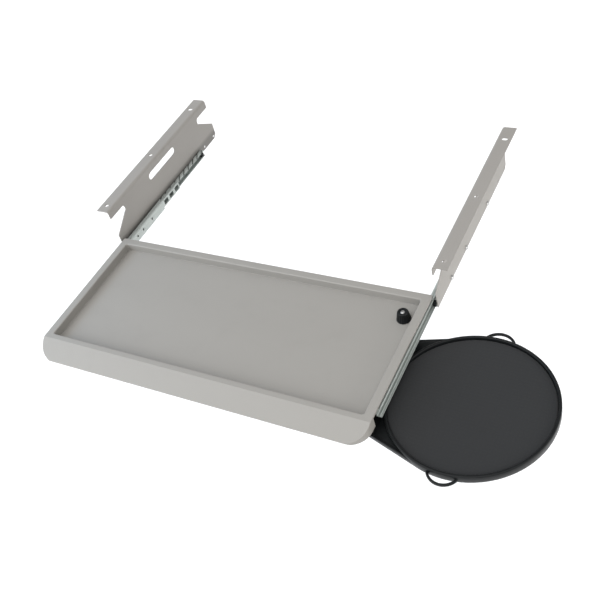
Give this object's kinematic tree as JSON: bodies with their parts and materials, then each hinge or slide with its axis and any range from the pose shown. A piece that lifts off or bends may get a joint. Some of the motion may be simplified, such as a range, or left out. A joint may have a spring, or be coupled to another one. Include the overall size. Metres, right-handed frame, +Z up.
{
  "type": "under-desk keyboard tray",
  "caption": "Under-desk keyboard drawer: tray on ball slides between two folded brackets, with a sloping palm rest and a round swing-out mouse platform.",
  "frame": {"origin": "on the desk's underside, midway between the brackets, level with their rear ends", "axes": "+X to the user's right across the tray, +Y to the rear, +Z up; the tray is drawn fully forward and the mouse platform is swung out to the right"},
  "size_m": [0.7245, 0.5323, 0.0976],
  "materials": {
    "bracket_paint": "warm grey powder paint, satin",
    "tray_moulding": "warm grey moulding with a fine texture",
    "zinc_plate": "bright zinc plate, faintly blue-green and mottled",
    "bright_steel": "bright steel",
    "black_plastic": "black moulding, satin",
    "charcoal_mat": "charcoal foam rubber mat, matte"
  },
  "bodies": {
    "brackets": {"left_bracket": "bracket_paint", "left_fixed_rail": "zinc_plate", "left_rail_rivet_rear": "bright_steel", "left_rail_rivet_middle": "bright_steel", "left_rail_rivet_front": "bright_steel", "left_front_bumper": "black_plastic", "left_rear_buffer": "black_plastic", "right_bracket": "bracket_paint", "right_fixed_rail": "zinc_plate", "right_rail_rivet_rear": "bright_steel", "right_rail_rivet_middle": "bright_steel", "right_rail_rivet_front": "bright_steel", "right_front_bumper": "black_plastic", "right_rear_buffer": "black_plastic"},
    "left_cage": {"left_ball_cage": "zinc_plate"},
    "right_cage": {"right_ball_cage": "zinc_plate"},
    "tray": {"tray": "tray_moulding", "left_tray_channel": "zinc_plate", "left_channel_screw_front": "bright_steel", "left_channel_screw_middle": "bright_steel", "left_channel_screw_rear": "bright_steel", "right_tray_channel": "zinc_plate", "right_channel_screw_front": "bright_steel", "right_channel_screw_middle": "bright_steel", "right_channel_screw_rear": "bright_steel", "swivel_plate": "zinc_plate", "swivel_screw_1": "bright_steel", "swivel_screw_2": "bright_steel", "swivel_screw_3": "bright_steel", "swivel_screw_4": "bright_steel", "pivot_spacer": "black_plastic", "pivot_washer": "zinc_plate", "pivot_bolt": "bright_steel", "stop_bush": "black_plastic"},
    "knob": {"stop_knob": "black_plastic", "knob_screw": "bright_steel", "knob_stud": "bright_steel", "stop_cam": "zinc_plate", "cam_nut": "bright_steel"},
    "platform": {"mouse_platform": "black_plastic", "mouse_mat": "charcoal_mat"}
  },
  "joints": [
    {"name": "tray_slide", "type": "slide", "parent": "brackets", "child": "tray", "axis": [0, 1, 0], "range_m": [0, 0.184]},
    {"name": "left_cage_run", "type": "slide", "parent": "brackets", "child": "left_cage", "axis": [0, 1, 0], "range_m": [0, 0.092]},
    {"name": "right_cage_run", "type": "slide", "parent": "brackets", "child": "right_cage", "axis": [0, 1, 0], "range_m": [0, 0.092]},
    {"name": "platform_swing", "type": "hinge", "parent": "tray", "child": "platform", "pos_m": [0.12, -0.418, -0.0858], "axis": [0, 0, 1], "range_deg": [-180, 0]},
    {"name": "knob_turn", "type": "hinge", "parent": "tray", "child": "knob", "pos_m": [0.2255, -0.3265, -0.067], "axis": [0, 0, -1], "range_deg": [0, 90]}
  ],
  "couplings": [
    {"joint": "left_cage_run", "follows": "tray_slide", "ratio": 0.5},
    {"joint": "right_cage_run", "follows": "tray_slide", "ratio": 0.5}
  ]
}
